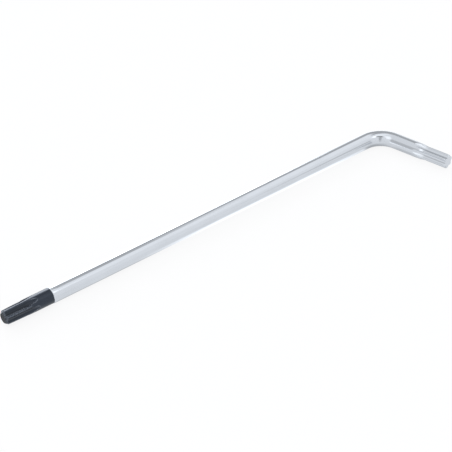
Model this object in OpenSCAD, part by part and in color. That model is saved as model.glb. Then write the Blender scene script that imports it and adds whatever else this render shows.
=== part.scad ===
// Bent star key: a chrome bar with a star on its short end and a black star bit on its long end

/* [Star] */
// Width over two opposite points
point_w = 6.75; // [6.5:0.05:6.9]
// Width over two opposite flutes
flute_w = 4.85; // [4.6:0.05:5.1]
// Radius of a point's rounded crown
crown_r = 0.55; // [0.45:0.01:0.65]
// Radius of the form cutter that mills the flutes
cutter_r = 22; // [16:1:30]
// Turn of the long end's star, from a flute in the plane of the bend
long_turn = 0; // [0:5:60]
// Turn of the short end's star, from a flute in the plane of the bend
short_turn = 30; // [0:5:60]

/* [Bar] */
// Diameter of the round bar
bar_d = 7.15; // [7:0.05:8]
// Long arm, from its end face to where the centre lines meet
long_arm = 203; // [120:1:260]
// Short arm, from its end face to where the centre lines meet
short_arm = 37.5; // [32:0.5:60]
// Angle between the two arms
arm_angle = 102; // [90:1:135]
// Radius of the bend along the centre line
bend_r = 11; // [8:0.5:16]
// How much bending draws the bar's radius in
bend_draw = 0.03; // [0.02:0.01:0.1]

/* [Short end] */
// Length of the flutes with their run-out
short_flute_len = 17.5; // [14:0.5:19]
// Radial width of the end's chamfer
short_chamfer_w = 0.5; // [0.3:0.1:1.2]
// Length of the end's chamfer
short_chamfer_l = 1.2; // [0.6:0.1:2]

/* [Black bit] */
// Length that shows in front of the bar
bit_len = 22; // [20:0.5:32]
// How much wider its plain collar is than the star's points
collar_over = 0.05; // [0.05:0.05:0.2]
// Length of the flutes with their run-out
long_flute_len = 15.5; // [14:0.5:19]
// Length of the slight taper that leads the star in
lead_l = 9; // [6:0.5:10]
// Radial width of the slight taper
lead_w = 0.3; // [0.1:0.05:0.3]
// Radial width of the end's chamfer
long_chamfer_w = 0.9; // [0.4:0.1:1.2]
// Length of the end's chamfer
long_chamfer_l = 0.9; // [0.4:0.1:1.6]

/* [Bit shank] */
// Width of the hexagonal shank over its flats
shank_w = 4; // [3.2:0.1:4.6]
// Length of the shank inside the bar
shank_len = 12; // [8:0.5:20]
// Chamfer on the shank's end
shank_chamfer = 0.4; // [0.2:0.1:0.8]
// Brazed gap on each side of the shank
braze_gap = 0.05; // [0.02:0.01:0.1]
// Depth of the socket past the shank's end
socket_relief = 0.6; // [0.3:0.1:1.5]
// Broken edge on each side of the seam between bit and bar
seam_break = 0.15; // [0.05:0.05:0.3]

/* [Hidden] */
$fn = 96;

// Worked-out lengths are kept to this share of a millimetre, so that cuts that meet end at the same place
fine = 10000;
function kept(length) = round(length * fine) / fine;

bar_r = bar_d / 2;
collar_r = (point_w + collar_over) / 2;
star_count = 6;
star_step = 360 / star_count;
half_step = star_step / 2;

// Centres of the crown and flute arcs; the flute's radius is a hair over the one that makes the arcs tangent
crown_c = point_w / 2 - crown_r;
flute_low = flute_w / 2;
flute_ease = 0.008;
tangent_r = (crown_c ^ 2 + flute_low ^ 2 - 2 * crown_c * flute_low * cos(half_step) - crown_r ^ 2)
          / (2 * (crown_r - flute_low + crown_c * cos(half_step)));
flute_r = kept(tangent_r + flute_ease);
flute_c = flute_low + flute_r;

// Length in which the cutter's round lifts it by a rise, and its run-outs at a flute and a crown of a round blank
function run_out(rise) = kept(sqrt(2 * cutter_r * rise - rise ^ 2));
function flute_run(blank_r) = run_out(blank_r - flute_low);
function crown_run(blank_r) = run_out((blank_r - point_w / 2) / cos(half_step));

// Cuts stand this far clear of the bar, where the cutter has swept this angle
cut_clear = 1;
cut_out_r = bar_r + cut_clear;
cut_sweep = acos(1 - (cut_out_r - flute_low) / cutter_r);

// A crown's cut reaches this share of the way to the flute's centre, and this far past its run-out
crown_side = 0.8;
crown_over = 0.5;

// The crowns run out on a cone that starts just outside the place where crown and flute meet
meet_ease = 0.05;
crown_top = [crown_c, 0];
flute_mid = flute_c * [cos(half_step), sin(half_step)];
meet_r = norm(crown_top + crown_r * (flute_mid - crown_top) / norm(flute_mid - crown_top)) + meet_ease;

// Straight part of an arm that the bend takes up
turn_angle = 180 - arm_angle;
bend_take = kept(bend_r * tan(turn_angle / 2));

// The bend runs on into each arm by this angle
bend_lap = 1;

// Shank and socket are hexagons with the same centre, and the shank is rooted this deep in the collar
hex_sides = 6;
hex_half = 180 / hex_sides;
shank_root = 1;
shank_r = shank_w / 2 / cos(hex_half);
socket_r = (shank_w / 2 + braze_gap) / cos(hex_half);

// Colours of the two finishes
chrome = [0.84, 0.85, 0.89];
black_oxide = [0.2, 0.21, 0.25];

// Flute on the X side of a bar whose end face is at zero: straight, then lifting out along the cutter's round
module flute_cut(straight) {
    translate([flute_c, 0, -cut_clear])
        cylinder(h = straight + cut_clear, r = flute_r);
    translate([flute_low + cutter_r, 0, straight])
        rotate([90, 0, 180])
            rotate_extrude(angle = cut_sweep)
                translate([cutter_r - flute_r, 0])
                    circle(flute_r);
}

// Rounding of the point on the X side, which runs out on a cone where the flutes lift
module crown_cut(straight, blank_r) {
    side = crown_top + crown_side * (flute_mid - crown_top);
    run = crown_run(blank_r);
    slope = (blank_r - meet_r) / run;
    difference() {
        translate([0, 0, -cut_clear])
            linear_extrude(cut_clear + straight + run + crown_over)
                difference() {
                    polygon([crown_top, [side.x, -side.y], [cut_out_r, 0], side]);
                    translate(crown_top)
                        circle(crown_r);
                }
        translate([0, 0, straight - cut_clear])
            cylinder(
                h = run + 2 * cut_clear,
                r1 = meet_r - slope * cut_clear,
                r2 = blank_r + slope * cut_clear
            );
    }
}

// Round blank turned to a profile from its end face at zero, with its star milled from there
module star_end(profile, blank_r, flute_len, turn) {
    straight = flute_len - flute_run(blank_r);
    difference() {
        rotate_extrude()
            polygon(profile);
        for (i = [0:star_count - 1])
            rotate([0, 0, turn + i * star_step + half_step])
                crown_cut(straight, blank_r);
        for (i = [0:star_count - 1])
            rotate([0, 0, turn + i * star_step])
                flute_cut(straight);
    }
}

// Hexagonal shank that stands out from zero, with its end chamfered and its root below zero
module shank() {
    end_r = shank_w / 2 - shank_chamfer;
    whole = shank_root + shank_len;
    translate([0, 0, -shank_root])
        intersection() {
            cylinder(h = whole, r = shank_r, $fn = hex_sides);
            cylinder(h = whole, r1 = end_r + whole, r2 = end_r);
        }
}

// Straight part of the long arm behind the bit, with the shank's socket in its end at zero
module long_bar() {
    length = long_arm - bend_take - bit_len;
    difference() {
        rotate_extrude()
            polygon([
                [0, 0],
                [bar_r - seam_break, 0],
                [bar_r, seam_break],
                [bar_r, length],
                [0, length],
            ]);
        translate([0, 0, -cut_clear])
            cylinder(h = shank_len + socket_relief + cut_clear, r = socket_r, $fn = hex_sides);
    }
}

// Chrome bar: long arm, bend, and short arm with its star
module bent_bar() {
    short_len = short_arm - bend_take;
    short_profile = [
        [0, 0],
        [bar_r - short_chamfer_w, 0],
        [bar_r, short_chamfer_l],
        [bar_r, short_len],
        [0, short_len],
    ];
    color(chrome) {
        translate([bit_len, 0, 0])
            rotate([90, 0, 90])
                long_bar();
        translate([long_arm - bend_take, -bend_r, 0])
            rotate([0, 0, 90 - turn_angle]) {
                rotate([0, 0, -bend_lap])
                    rotate_extrude(angle = turn_angle + 2 * bend_lap)
                        translate([bend_r, 0])
                            circle(bar_r - bend_draw);
                translate([bend_r, -short_len, 0])
                    rotate([-90, 0, 0])
                        star_end(short_profile, bar_r, short_flute_len, short_turn);
            }
    }
}

// Black bit: tapered star on the front, plain collar behind it, shank at the back
module star_bit() {
    nose_r = collar_r - lead_w;
    bit_profile = [
        [0, 0],
        [nose_r - long_chamfer_w, 0],
        [nose_r, long_chamfer_l],
        [collar_r, lead_l],
        [collar_r, bit_len - seam_break],
        [collar_r - seam_break, bit_len],
        [0, bit_len],
    ];
    color(black_oxide)
        rotate([90, 0, 90]) {
            star_end(bit_profile, collar_r, long_flute_len, long_turn);
            translate([0, 0, bit_len])
                shank();
        }
}

bent_bar();
star_bit();
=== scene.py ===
import math

import bmesh
import bpy
import numpy as np
from mathutils import Matrix, Vector


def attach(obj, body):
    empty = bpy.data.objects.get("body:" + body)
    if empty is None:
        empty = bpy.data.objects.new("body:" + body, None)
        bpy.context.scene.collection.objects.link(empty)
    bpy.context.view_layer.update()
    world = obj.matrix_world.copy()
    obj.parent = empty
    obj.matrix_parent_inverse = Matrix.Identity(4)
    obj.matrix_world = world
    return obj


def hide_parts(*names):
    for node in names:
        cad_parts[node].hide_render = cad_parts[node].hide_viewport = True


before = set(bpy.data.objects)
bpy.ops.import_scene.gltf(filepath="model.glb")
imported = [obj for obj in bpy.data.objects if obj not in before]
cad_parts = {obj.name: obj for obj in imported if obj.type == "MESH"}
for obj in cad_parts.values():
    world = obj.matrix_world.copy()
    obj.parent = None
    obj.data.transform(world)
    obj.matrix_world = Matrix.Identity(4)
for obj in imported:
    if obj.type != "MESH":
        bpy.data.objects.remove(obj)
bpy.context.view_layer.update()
print("frame loaded:", sorted(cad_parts))

mm = 0.001
ringPoints = 240   # points round the bar, 40 to each lobe of the star
seamRound = 0.01   # mm that takes the sharpness off the seam's edges
edgeGap = 0.1      # mm from an edge to the ring that keeps its shading off the plain part
floorShare = 0.3   # size of the inner ring on a flat end that doesn't show


def hexColour(code):
    # sRGB hex to the linear values that sockets take
    parts = [int(code[i:i + 2], 16) / 255 for i in (1, 3, 5)]
    return [p / 12.92 if p <= 0.04045 else ((p + 0.055) / 1.055) ** 2.4 for p in parts] + [1]


def addNode(tree, kind, links=(), inputs=None, **settings):
    # links are (output, socket) pairs, inputs are values by socket, and settings are the node's own fields
    node = tree.nodes.new(kind)
    for name, value in settings.items():
        setattr(node, name, value)
    for socket, value in (inputs or {}).items():
        node.inputs[socket].default_value = value
    for output, socket in links:
        tree.links.new(output, node.inputs[socket])
    return node


# Camera: the photograph's view of the key, worked out from its outline
photoView = {
    "target": (104.6, -9.38, 0),   # mm, where the middle of the picture meets the key's own plane
    "azimuth": 36.87,              # degrees that the view turns from +Y towards +X
    "elevation": 36.53,            # degrees that it looks down
    "roll": 2.31,
    "distance": 583.4,             # mm
    "lens": 108.91,
    "sensor": 36.0,
}


def makeCamera(v):
    turn, rise = math.radians(v["azimuth"]), math.radians(v["elevation"])
    forward = Vector((math.sin(turn) * math.cos(rise), math.cos(turn) * math.cos(rise), -math.sin(rise)))
    level = forward.cross(Vector((0, 0, 1))).normalized()
    roll = Matrix.Rotation(math.radians(v["roll"]), 3, forward)
    right = roll @ level
    up = right.cross(forward)
    camera = bpy.data.objects.new("photoCamera", bpy.data.cameras.new("photoCamera"))
    axes = Matrix((right, up, -forward)).transposed().to_4x4()
    place = (Vector(v["target"]) - forward * v["distance"]) * mm
    camera.matrix_world = Matrix.Translation(place) @ axes
    camera.data.lens = v["lens"]
    camera.data.sensor_width = v["sensor"]
    bpy.context.scene.collection.objects.link(camera)
    bpy.context.scene.camera = camera


makeCamera(photoView)
print("camera set")

# The bar's run: long arm from its tip, bend, short arm. Lengths are in mm along the centre line
bar = {
    "radius": 3.575,
    "longArm": 203.0,
    "shortArm": 37.5,
    "armAngle": 102.0,
    "bendRadius": 11.0,
    "plainStep": 3.0,    # between rings on a straight plain stretch
    "bendStep": 1.5,     # degrees between rings on the bend
    "starStep": 0.12,    # between rings on a star
}

turnAngle = math.radians(180 - bar["armAngle"])
bendTake = bar["bendRadius"] * math.tan(turnAngle / 2)
bendStart = bar["longArm"] - bendTake
bendEnd = bendStart + bar["bendRadius"] * turnAngle
barEnd = bendEnd + bar["shortArm"] - bendTake


def barPlace(along):
    # centre of the bar, and the way out of the bend, at a length along it
    angle = min(max(along - bendStart, 0) / bar["bendRadius"], turnAngle)
    out = np.array([math.sin(angle), math.cos(angle), 0])
    ahead = np.array([math.cos(angle), -math.sin(angle), 0])
    centre = np.array([bendStart, -bar["bendRadius"], 0]) + bar["bendRadius"] * out
    past = min(along - bendStart, 0) + max(along - bendEnd, 0)
    return centre + past * ahead, out


# Six-lobed star, size 40
star = {
    "lobes": 6,
    "pointWidth": 6.75,
    "fluteWidth": 4.85,
    "crownRadius": 0.55,
    "cutterRadius": 22.0,
    "edgeBreak": 0.07,   # how wide milling and finishing leave each edge rounded
    "faceRings": (0.1, 0.4, 0.7, 0.9, 0.97, 1.0),   # rings on the end face, as shares of it
    "runPast": 0.5,      # how far the fine rings go on behind the run-outs
    "plainPast": 1.0,    # where the plain rings start behind them
    "wearAndHighlightReach": 0.3,    # how far from an edge its wear and painted highlight show
    "edgeWearAndHighlight": (0.45, 0.55),   # wear and painted highlight along a flute's edges, and more painted highlight where the flute lifts
    "rimWearAndHighlight": 0.6,      # wear and painted highlight on the end face's edge
    "noseWearAndHighlight": 0.55,    # wear and painted highlight on the end's chamfer
    "ridgeWearAndHighlight": 0.68,   # wear along the top of a lobe, which rubs in every socket, and a painted highlight there
    "ridgeHalf": 16.0,   # degrees on each side of the top
}

halfStep = math.pi / star["lobes"]
crownCentre = star["pointWidth"] / 2 - star["crownRadius"]
fluteLow = star["fluteWidth"] / 2
fluteRadius = (
    (crownCentre ** 2 + fluteLow ** 2 - star["crownRadius"] ** 2 - 2 * crownCentre * fluteLow * math.cos(halfStep))
    / (2 * (star["crownRadius"] - fluteLow + crownCentre * math.cos(halfStep)))
)
fluteCentre = fluteLow + fluteRadius
meetRadius = 3.07    # just outside the place where crown and flute meet
angles = np.arange(ringPoints) * 2 * math.pi / ringPoints


def runOut(rise):
    # length in which the cutter's round lifts it by the rise
    return math.sqrt(2 * star["cutterRadius"] * rise - rise ** 2)


def softMin(a, b, reach):
    # the lower of the two, rounded where they cross
    share = np.clip(0.5 + 0.5 * (b - a) / reach, 0, 1)
    return b * (1 - share) + a * share - reach * share * (1 - share)


def starRing(end, depth):
    # radius round the bar, and how worn each point is with painted highlights added, at a depth from the end face
    fromFlute = (angles - math.radians(end["turn"]) + halfStep) % (2 * halfStep) - halfStep
    fromLobe = halfStep - np.abs(fromFlute)
    full = end["blankRadius"]
    lifted = depth - end["fluteLength"] + runOut(full - fluteLow)
    run = min(max(lifted, 0), star["cutterRadius"])
    lift = star["cutterRadius"] - math.sqrt(star["cutterRadius"] ** 2 - run ** 2)
    clear = 2 * full
    under = fluteRadius ** 2 - ((fluteCentre + lift) * np.sin(fromFlute)) ** 2
    flute = np.where(under > 0, (fluteCentre + lift) * np.cos(fromFlute) - np.sqrt(np.maximum(under, 0)), clear)
    under = star["crownRadius"] ** 2 - (crownCentre * np.sin(fromLobe)) ** 2
    crown = np.where(under > 0, crownCentre * np.cos(fromLobe) + np.sqrt(np.maximum(under, 0)), clear)
    cone = meetRadius + lifted * (full - meetRadius) / runOut((full - star["pointWidth"] / 2) / math.cos(halfStep))
    ahead = (depth - end["chamferLength"]) / (end["leadLength"] - end["chamferLength"])
    lead = full - end["leadWidth"] * max(1 - ahead, 0)
    chamfer = full - end["leadWidth"] - (1 - depth / end["chamferLength"]) * end["chamferWidth"]
    blank = softMin(np.full(ringPoints, lead), chamfer, star["edgeBreak"])
    lobe = softMin(blank, np.maximum(crown, cone), star["edgeBreak"])
    radius = softMin(lobe, flute, star["edgeBreak"])
    apart = np.minimum(np.abs(lobe - flute), np.abs(lead - chamfer))
    out = min(lift / (full - fluteLow), 1)   # 0 along the full flute, 1 where it has run out
    always, lifting = star["edgeWearAndHighlight"]
    # lighter grey along flute edges, run-outs and lobe tops: partly wear, partly painted highlight
    wearAndHighlight = np.clip(1 - apart / star["wearAndHighlightReach"], 0, 1) * (always + lifting * math.sin(math.pi * out))
    ridge = np.clip(1 - fromLobe / math.radians(star["ridgeHalf"]), 0, 1) * (1 - out)
    nose = star["noseWearAndHighlight"] if chamfer < lead else 0
    return radius, np.maximum(np.maximum(wearAndHighlight, star["ridgeWearAndHighlight"] * ridge), nose)


def ringAt(along, radius):
    centre, out = barPlace(along)
    up = np.array([0, 0, 1])
    return centre + radius[:, None] * (np.cos(angles)[:, None] * out + np.sin(angles)[:, None] * up)


def hexRing(width, turned=math.inf):
    # hexagon with two corners in the plane of the bend, turned down to a radius
    folded = angles % (math.pi / 3) - math.pi / 6
    return np.minimum(width / 2 / np.cos(folded), turned)


def makeLoft(name, rows):
    # one closed skin through rows of (length along the bar, radius, wear and painted highlight), with a fan at each
    # end
    mesh = bpy.data.meshes.new(name)
    shape = bmesh.new()
    unbent = shape.verts.layers.float_vector.new("unbent")
    wearAndHighlightLayer = shape.verts.layers.float.new("wearAndHighlight")
    rings = []
    for along, radius, wearAndHighlight in rows:
        ring = []
        for point, angle, reach, wornAndHighlight in zip(ringAt(along, radius) * mm, angles, radius, wearAndHighlight):
            vert = shape.verts.new(point)
            vert[unbent] = (along * mm, reach * math.cos(angle) * mm, reach * math.sin(angle) * mm)
            vert[wearAndHighlightLayer] = wornAndHighlight
            ring.append(vert)
        rings.append(ring)
    for near, far in zip(rings, rings[1:]):
        for i in range(ringPoints):
            j = (i + 1) % ringPoints
            shape.faces.new((near[i], near[j], far[j], far[i]))
    for ring, along in ((rings[0], rows[0][0]), (rings[-1], rows[-1][0])):
        tip = shape.verts.new(Vector(barPlace(along)[0]) * mm)
        tip[unbent] = (along * mm, 0, 0)
        for i in range(ringPoints):
            shape.faces.new((ring[i], ring[(i + 1) % ringPoints], tip))
    bmesh.ops.recalc_face_normals(shape, faces=shape.faces)
    for face in shape.faces:
        face.smooth = True
    shape.to_mesh(mesh)
    shape.free()
    piece = bpy.data.objects.new(name, mesh)
    bpy.context.scene.collection.objects.link(piece)
    return piece


def evenSteps(start, end, step):
    return np.linspace(start, end, max(2, round(abs(end - start) / step) + 1))


def endRows(end, place):
    # end face from its middle out, its rounded edge, and the star behind it; place turns a depth into a length
    rim = starRing(end, 0.0)[0]
    edge = star["edgeBreak"]
    zero = np.zeros(ringPoints)
    rows = [(place(0.0), (rim - 2 * edge) * share, zero) for share in star["faceRings"]]
    # wear and painted highlight on the end face's rounded edge
    wornAndHighlight = zero + star["rimWearAndHighlight"]
    for angle in np.linspace(0, math.pi / 3, 4):
        rows.append((place(edge * (1 - math.cos(angle))), rim - edge * (1 - math.sin(angle)), wornAndHighlight))
    fineEnd = end["chamferLength"] * 2
    depths = evenSteps(edge, fineEnd, edge)
    depths = np.append(depths, evenSteps(fineEnd, end["fluteLength"] + star["runPast"], bar["starStep"])[1:])
    rows += [(place(depth), *starRing(end, depth)) for depth in depths]
    return rows


def roundRow(along, radius, wearAndHighlight=0.0):
    return along, np.full(ringPoints, radius), np.full(ringPoints, wearAndHighlight)


# Black bit: star on the front, plain collar, and the shank that is brazed into the bar
bit = {
    "turn": 0.0,           # degrees, from a flute in the plane of the bend
    "blankRadius": 3.4,
    "length": 22.0,
    "fluteLength": 15.5,
    "leadLength": 9.0,     # slight taper that leads the star in
    "leadWidth": 0.3,
    "chamferWidth": 0.9,
    "chamferLength": 0.9,
    "collarStep": 1.0,     # between rings on the collar
    "seamBreak": 0.15,
    "seamWear": (0.8, 0.3),   # on the seam's two edges
    "shankWidth": 4.0,
    "shankLength": 12.0,
    "shankChamfer": 0.4,
    "brazeGap": 0.05,      # on each side of the shank
    "socketRelief": 0.6,   # behind the shank's end
}


def makeBit(b):
    rows = endRows(b, lambda depth: depth)
    plainEnd = b["length"] - b["seamBreak"]
    collar = evenSteps(b["fluteLength"] + star["plainPast"], plainEnd - edgeGap, b["collarStep"])
    rows += [roundRow(along, b["blankRadius"]) for along in collar]
    rows += [roundRow(plainEnd, b["blankRadius"] - seamRound, b["seamWear"][0])]
    rows += [roundRow(b["length"], b["blankRadius"] - b["seamBreak"], b["seamWear"][1])]
    shankEnd = b["length"] + b["shankLength"]
    zero = np.zeros(ringPoints)
    rows += [(along, hexRing(b["shankWidth"]), zero) for along in (b["length"], b["length"] + edgeGap)]
    corner, flat = b["shankWidth"] / 2 / math.cos(math.pi / 6), b["shankWidth"] / 2
    endRadius = flat - b["shankChamfer"]
    for radius in [*np.linspace(corner, flat, 5), endRadius]:   # its end is turned to a cone
        rows += [(shankEnd - radius + endRadius, hexRing(b["shankWidth"], radius), zero)]
    rows += [roundRow(shankEnd, endRadius * floorShare)]
    return makeLoft("star_bit_black", rows)


# Chrome bar: seam and socket at the long end, plain arm, bend, and the star on the short end
shortEnd = {
    "turn": 45.0,          # as its flute lines show; the solids have 30
    "blankRadius": bar["radius"],
    "fluteLength": 17.5,
    "leadLength": 9.0,
    "leadWidth": 0.0,      # no taper on this end
    "chamferWidth": 0.5,
    "chamferLength": 1.2,
}


def makeBar(b, end, tip):
    socketEnd = tip["length"] + tip["shankLength"] + tip["socketRelief"]
    socket = hexRing(tip["shankWidth"] + 2 * tip["brazeGap"])
    zero = np.zeros(ringPoints)
    rows = [(socketEnd, socket * floorShare, zero), (socketEnd, socket, zero)]
    rows += [(tip["length"] + edgeGap, socket, zero), (tip["length"], socket, zero)]
    rows += [roundRow(tip["length"], b["radius"] - tip["seamBreak"])]
    rows += [roundRow(tip["length"] + tip["seamBreak"], b["radius"] - seamRound)]
    plain = evenSteps(tip["length"] + tip["seamBreak"] + edgeGap, bendStart, b["plainStep"])
    bend = evenSteps(bendStart, bendEnd, math.radians(b["bendStep"]) * b["bendRadius"])
    short = evenSteps(bendEnd, barEnd - end["fluteLength"] - star["plainPast"], b["plainStep"])
    rows += [roundRow(along, b["radius"]) for along in [*plain, *bend[1:], *short[1:]]]
    rows += reversed(endRows(end, lambda depth: barEnd - depth))
    return makeLoft("bent_bar_chrome", rows)


bitPiece = makeBit(bit)
barPiece = makeBar(bar, shortEnd, bit)
print("pieces made:", len(bitPiece.data.polygons), "and", len(barPiece.data.polygons), "faces")


# Bright chromium plate on ground and polished steel: a cool mirror, with the faint lines of the grinding
# under it and a little haze where hands have been
chromePlate = {
    "face": "#dcdfe3",
    "haze": "#d3d6da",
    "roughness": (0.07, 0.16),     # clean and hazy
    "smudgeSize": 9.0,             # mm, about a fingertip
    "smudgeRange": (0.35, 0.7),    # of the noise, from clean to hazy
    "grindPitch": 0.35,            # mm between grinding lines; real ones are near 0.02 and wouldn't show
    "grindStretch": 20,            # how much longer than its pitch a line is
    "grindDepth": 0.02,            # mm
    "grindStrength": 0.03,
}


def makeChrome(c):
    material = bpy.data.materials.new("chrome_plate_polished")
    material.use_nodes = True
    tree = material.node_tree
    shader = tree.nodes["Principled BSDF"]
    shader.inputs["Metallic"].default_value = 1
    place = addNode(tree, "ShaderNodeAttribute", attribute_name="unbent").outputs["Vector"]
    smudge = addNode(tree, "ShaderNodeTexNoise", [(place, "Vector")],
                     inputs={"Scale": 1 / (c["smudgeSize"] * mm), "Detail": 4.0}).outputs["Fac"]
    colour = addNode(tree, "ShaderNodeMix", [(smudge, "Factor")], data_type="RGBA",
                     inputs={6: hexColour(c["face"]), 7: hexColour(c["haze"])}).outputs[2]
    tree.links.new(colour, shader.inputs["Base Color"])
    clean, hazy = c["smudgeRange"]
    low, high = c["roughness"]
    rough = addNode(tree, "ShaderNodeMapRange", [(smudge, "Value")],
                    inputs={"From Min": clean, "From Max": hazy, "To Min": low, "To Max": high})
    tree.links.new(rough.outputs[0], shader.inputs["Roughness"])
    across = 1 / c["grindStretch"]
    squeezed = addNode(tree, "ShaderNodeMapping", [(place, "Vector")], inputs={"Scale": (1, across, across)})
    grind = addNode(tree, "ShaderNodeTexNoise", [(squeezed.outputs[0], "Vector")],
                    inputs={"Scale": 1 / (c["grindPitch"] * mm), "Detail": 2.0})
    bump = addNode(tree, "ShaderNodeBump", [(grind.outputs["Fac"], "Height")],
                   inputs={"Strength": c["grindStrength"], "Distance": c["grindDepth"] * mm})
    tree.links.new(bump.outputs[0], shader.inputs["Normal"])
    return material


# Black oxide on hardened steel: a thin blue-black skin, satin, that rubs through to grey along the edges.
# The grey also carries painted highlights on edges, lobe tops, run-outs and chamfer, and the flutes carry painted
# shade
blackOxide = {
    "skin": "#22272f",           # on the collar and the lobes
    "deep": "#090c10",           # painted shade down in the flutes
    "deepRange": (2.5, 3.1),     # mm from the axis, from the painted flute shade to the skin's colour
    # bare steel grey where the skin rubs through, also used for painted highlights
    "bareAndHighlight": "#a4aab4",
    "rubAndHighlightRange": (0.2, 0.8),      # of the wear and painted highlight, from skin to bare steel
    "sheen": "#cfdaeb",          # bluish, from the thin oxide
    "ior": 1.58,
    "roughness": (0.15, 0.28),
    "grainSize": 0.5,            # mm, the patches of the salt bath
    "grainRange": (0.3, 0.7),    # of the noise, from smooth to rough
    "grainDepth": 0.02,          # mm
    "grainStrength": 0.1,
}


def makeBlack(b):
    material = bpy.data.materials.new("black_oxide_steel")
    material.use_nodes = True
    tree = material.node_tree
    shader = tree.nodes["Principled BSDF"]
    shader.inputs["IOR"].default_value = b["ior"]
    shader.inputs["Specular Tint"].default_value = hexColour(b["sheen"])
    place = addNode(tree, "ShaderNodeAttribute", attribute_name="unbent").outputs["Vector"]
    wornAndHighlight = addNode(tree, "ShaderNodeAttribute", attribute_name="wearAndHighlight").outputs["Fac"]
    grain = addNode(tree, "ShaderNodeTexNoise", [(place, "Vector")],
                    inputs={"Scale": 1 / (b["grainSize"] * mm), "Detail": 5.0}).outputs["Fac"]
    # painted shade: darker down in the flutes, by distance from the axis
    flat = addNode(tree, "ShaderNodeVectorMath", [(place, 0)], operation="MULTIPLY", inputs={1: (0, 1, 1)})
    reach = addNode(tree, "ShaderNodeVectorMath", [(flat.outputs[0], 0)], operation="LENGTH").outputs["Value"]
    deep, proud = b["deepRange"]
    raised = addNode(tree, "ShaderNodeMapRange", [(reach, "Value")],
                     inputs={"From Min": deep * mm, "From Max": proud * mm}).outputs[0]
    skin = addNode(tree, "ShaderNodeMix", [(raised, "Factor")], data_type="RGBA",
                   inputs={6: hexColour(b["deep"]), 7: hexColour(b["skin"])}).outputs[2]
    # lighter grey where wear and painted highlights fall, broken up by the grain
    rubAndHighlight = addNode(tree, "ShaderNodeMath", [(wornAndHighlight, 0), (grain, 1)], operation="MULTIPLY").outputs[0]
    covered, bareAndHighlight = b["rubAndHighlightRange"]
    share = addNode(tree, "ShaderNodeMapRange", [(rubAndHighlight, "Value")], inputs={"From Min": covered, "From Max": bareAndHighlight})
    colour = addNode(tree, "ShaderNodeMix", [(share.outputs[0], "Factor"), (skin, 6)], data_type="RGBA",
                     inputs={7: hexColour(b["bareAndHighlight"])}).outputs[2]
    tree.links.new(colour, shader.inputs["Base Color"])
    smooth, coarse = b["grainRange"]
    low, high = b["roughness"]
    rough = addNode(tree, "ShaderNodeMapRange", [(grain, "Value")],
                    inputs={"From Min": smooth, "From Max": coarse, "To Min": low, "To Max": high})
    tree.links.new(rough.outputs[0], shader.inputs["Roughness"])
    bump = addNode(tree, "ShaderNodeBump", [(grain, "Height")],
                   inputs={"Strength": b["grainStrength"], "Distance": b["grainDepth"] * mm})
    tree.links.new(bump.outputs[0], shader.inputs["Normal"])
    return material


barPiece.data.materials.append(makeChrome(chromePlate))
bitPiece.data.materials.append(makeBlack(blackOxide))
for piece, node, slot in ((barPiece, "bent_bar", "chrome_plate"), (bitPiece, "star_bit", "black_oxide_steel")):
    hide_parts(node)
    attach(piece, "root")
print("materials made")

# White table and studio. A polished key shows what stands round it, so the world is drawn as cards by direction:
# azimuth from +Y towards +X and elevation, with half width and half height, all in degrees
studio = {
    "light": "#f8fbff",     # cool daylight tubes
    "roomLevel": 1.0,
    "cards": [
        {"toward": (6, 8), "half": (27, 46), "soft": 3, "level": 2.0},        # white wall behind
        {"toward": (20, 28), "half": (11, 19), "soft": 4, "level": 5.5},      # lamp before it
        {"toward": (105, 57), "half": (34, 9), "soft": 6, "level": 1.1},      # pale ceiling
        {"toward": (120, 86), "half": (20, 14), "soft": 5, "level": 1.2},     # lamp overhead
        {"toward": (-22, 58), "half": (36, 10), "soft": 6, "level": 0.93},    # duller ceiling
        {"toward": (-70, 20), "half": (13, 17), "soft": 8, "level": 0.64},    # far edge of the table
        {"toward": (43, 18), "half": (7, 41), "soft": 5, "level": 0.48},      # dark gap beside the wall
        {"toward": (50, 59), "turn": -34, "half": (5.5, 14), "soft": 4, "level": 0.52},  # and over it
        {"toward": (72, 67), "half": (10, 4), "soft": 3, "level": 0.55},      # and along the ceiling
        {"toward": (-40, 8), "half": (8, 34), "soft": 5, "level": 0.48},      # dark gap on its other side
        {"toward": (98, 16), "half": (15, 20), "soft": 7, "level": 0.5},      # dark doorway
        {"toward": (139, 14), "half": (7, 6), "soft": 4, "level": 0.6},       # near edge of the table
        {"toward": (-92, 50), "half": (13, 19), "soft": 6, "level": 1.38},    # left softbox
        {"toward": (163, 57), "half": (10, 10), "soft": 4, "level": 1.6},     # right softbox
        {"toward": (-149, 18), "half": (8, 36), "soft": 3, "level": 0.6},     # camera stand
        {"toward": (-157, 60), "half": (14, 6), "soft": 2, "level": 0.28},    # its arm
    ],
    "tableSize": 6.0,       # m
    "tableColour": "#f4f4f6",
    "tableGlow": 0.88,      # share of the table that the eye sees as plain white
    "mirrorLevel": 0.96,    # the table as the key shows it
    "contact": 1.8,         # mm within which painted contact shade darkens the table as the key shows it
    "contactLevel": 0.5,
    "patches": [            # painted pools of light and shade that only the key's reflections show, by place on the table in mm
        {"at": (150, 311), "half": (450, 300), "soft": (5, 5), "level": 1.5},   # lit by the white wall
        {"at": (135, -1), "half": (52, 4.5), "soft": (26, 2), "level": 1.6},    # light thrown back under the arm
        {"at": (177, -40), "turn": 57, "half": (26, 1.6), "soft": (3, 1.0), "level": 0.62},  # camera stand's shadow
        {"at": (198, -3), "half": (5, 3.5), "soft": (2, 2.5), "level": 0.56},   # shade in the crook
        {"at": (202.5, -15.5), "turn": -78, "half": (6, 2.4), "soft": (4, 1.6), "level": 0.72},  # painted shade by the short arm
        {"at": (-6, 5), "half": (6, 6), "soft": (2, 2), "level": 0.4},          # shade before the tip
        {"at": (6, -9), "half": (10, 5), "soft": (4, 2), "level": 1.5},         # light thrown back at the bit
    ],
}


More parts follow.
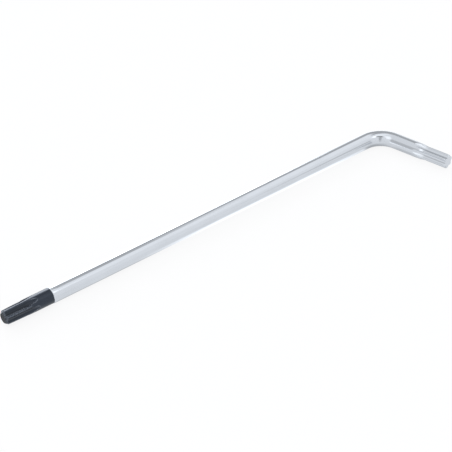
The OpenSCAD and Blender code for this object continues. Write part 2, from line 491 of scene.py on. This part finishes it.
def axesToward(azimuth, elevation, turn):
    # the direction itself, then the directions to the right of it and above it
    a, e, t = (math.radians(v) for v in (azimuth, elevation, turn))
    toward = Vector((math.sin(a) * math.cos(e), math.cos(a) * math.cos(e), math.sin(e)))
    level = Vector((math.cos(a), -math.sin(a), 0))
    above = level.cross(toward)
    side = level * math.cos(t) + above * math.sin(t)
    return toward, side, side.cross(toward)


def boxShare(tree, vector, sides):
    # 1 inside a box round zero, with a soft fall at each pair of sides
    share = None
    for axis, inner, outer in sides:
        across = addNode(tree, "ShaderNodeVectorMath", [(vector, 0)], operation="DOT_PRODUCT", inputs={1: axis})
        reach = addNode(tree, "ShaderNodeMath", [(across.outputs["Value"], 0)], operation="ABSOLUTE")
        fade = addNode(tree, "ShaderNodeMapRange", [(reach.outputs[0], "Value")], interpolation_type="SMOOTHSTEP",
                       inputs={"From Min": inner, "From Max": outer, "To Min": 1.0, "To Max": 0.0}).outputs[0]
        if share:
            fade = addNode(tree, "ShaderNodeMath", [(share, 0), (fade, 1)], operation="MULTIPLY").outputs[0]
        share = fade
    return share


def makeTable(s):
    # White laminate, matt: plain white to the eye with a soft shadow, while the key mirrors it with painted pools
    # of light and shade
    mesh = bpy.data.meshes.new("white_table")
    half, low = s["tableSize"] / 2, -bar["radius"] * mm
    corners = [(-half, -half, low), (half, -half, low), (half, half, low), (-half, half, low)]
    mesh.from_pydata(corners, [], [(0, 1, 2, 3)])
    table = bpy.data.objects.new("white_table", mesh)
    bpy.context.scene.collection.objects.link(table)
    material = bpy.data.materials.new("white_table")
    material.use_nodes = True
    tree = material.node_tree
    tree.nodes.clear()
    matt = addNode(tree, "ShaderNodeBsdfDiffuse", inputs={"Color": hexColour(s["tableColour"])})
    plain = addNode(tree, "ShaderNodeEmission")   # white, at its default strength of 1
    # painted contact shade near the key, seen only in its reflections
    openSky = addNode(tree, "ShaderNodeAmbientOcclusion", inputs={"Distance": s["contact"] * mm})
    level = addNode(tree, "ShaderNodeMapRange", [(openSky.outputs["AO"], "Value")],
                    inputs={"To Min": s["contactLevel"], "To Max": s["mirrorLevel"]}).outputs[0]
    place = addNode(tree, "ShaderNodeNewGeometry").outputs["Position"]
    # painted pools of light and shade on the table
    for patch in s["patches"]:
        turn = math.radians(patch.get("turn", 0))
        axes = (math.cos(turn), math.sin(turn), 0), (-math.sin(turn), math.cos(turn), 0)
        sides = [(axis, (size - fall) * mm, (size + fall) * mm)
                 for axis, size, fall in zip(axes, patch["half"], patch["soft"])]
        offset = addNode(tree, "ShaderNodeVectorMath", [(place, 0)], operation="SUBTRACT",
                         inputs={1: (patch["at"][0] * mm, patch["at"][1] * mm, 0)})
        share = boxShare(tree, offset.outputs[0], sides)
        level = addNode(tree, "ShaderNodeMix", [(share, 0), (level, 2)], inputs={3: patch["level"]}).outputs[0]
    shown = addNode(tree, "ShaderNodeEmission", [(level, "Strength")], inputs={"Color": hexColour(s["light"])})
    path = addNode(tree, "ShaderNodeLightPath")
    glossy, through = path.outputs["Is Glossy Ray"], path.outputs["Is Transmission Ray"]
    mirrored = addNode(tree, "ShaderNodeMath", [(glossy, 0), (through, 1)], operation="MAXIMUM")
    seen = addNode(tree, "ShaderNodeMath", [(path.outputs["Is Camera Ray"], 0)], operation="MULTIPLY",
                   inputs={1: s["tableGlow"]})
    face = addNode(tree, "ShaderNodeMixShader", [(seen.outputs[0], 0), (matt.outputs[0], 1), (plain.outputs[0], 2)])
    both = addNode(tree, "ShaderNodeMixShader",
                   [(mirrored.outputs[0], 0), (face.outputs[0], 1), (shown.outputs[0], 2)])
    addNode(tree, "ShaderNodeOutputMaterial", [(both.outputs[0], "Surface")])
    mesh.materials.append(material)


def makeWorld(s):
    world = bpy.data.worlds.new("studio")
    bpy.context.scene.world = world
    world.use_nodes = True
    tree = world.node_tree
    look = addNode(tree, "ShaderNodeTexCoord").outputs["Generated"]   # the way a ray goes
    room = addNode(tree, "ShaderNodeValue")
    room.outputs[0].default_value = s["roomLevel"]
    level = room.outputs[0]
    for card in s["cards"]:
        toward, *axes = axesToward(*card["toward"], card.get("turn", 0))
        soft = card["soft"]
        sides = [(axis, math.sin(math.radians(max(half - soft, 0))), math.sin(math.radians(half + soft)))
                 for axis, half in zip(axes, card["half"])]
        inside = boxShare(tree, look, sides)
        facing = addNode(tree, "ShaderNodeVectorMath", [(look, 0)], operation="DOT_PRODUCT", inputs={1: toward})
        front = addNode(tree, "ShaderNodeMath", [(facing.outputs["Value"], 0)],
                        operation="GREATER_THAN", inputs={1: 0.0})
        share = addNode(tree, "ShaderNodeMath", [(front.outputs[0], 0), (inside, 1)], operation="MULTIPLY")
        level = addNode(tree, "ShaderNodeMix", [(share.outputs[0], 0), (level, 2)],
                        inputs={3: card["level"]}).outputs[0]
    path = addNode(tree, "ShaderNodeLightPath")
    # the camera itself sees plain white
    seen = addNode(tree, "ShaderNodeMix", [(path.outputs["Is Camera Ray"], 0), (level, 2)], inputs={3: 1.0})
    tint = addNode(tree, "ShaderNodeMix", [(path.outputs["Is Camera Ray"], 0)], data_type="RGBA",
                   inputs={6: hexColour(s["light"]), 7: (1, 1, 1, 1)})
    tree.links.new(seen.outputs[0], tree.nodes["Background"].inputs["Strength"])
    tree.links.new(tint.outputs[2], tree.nodes["Background"].inputs["Color"])


makeTable(studio)
makeWorld(studio)
bpy.context.scene.view_settings.view_transform = "Standard"
print("studio set")
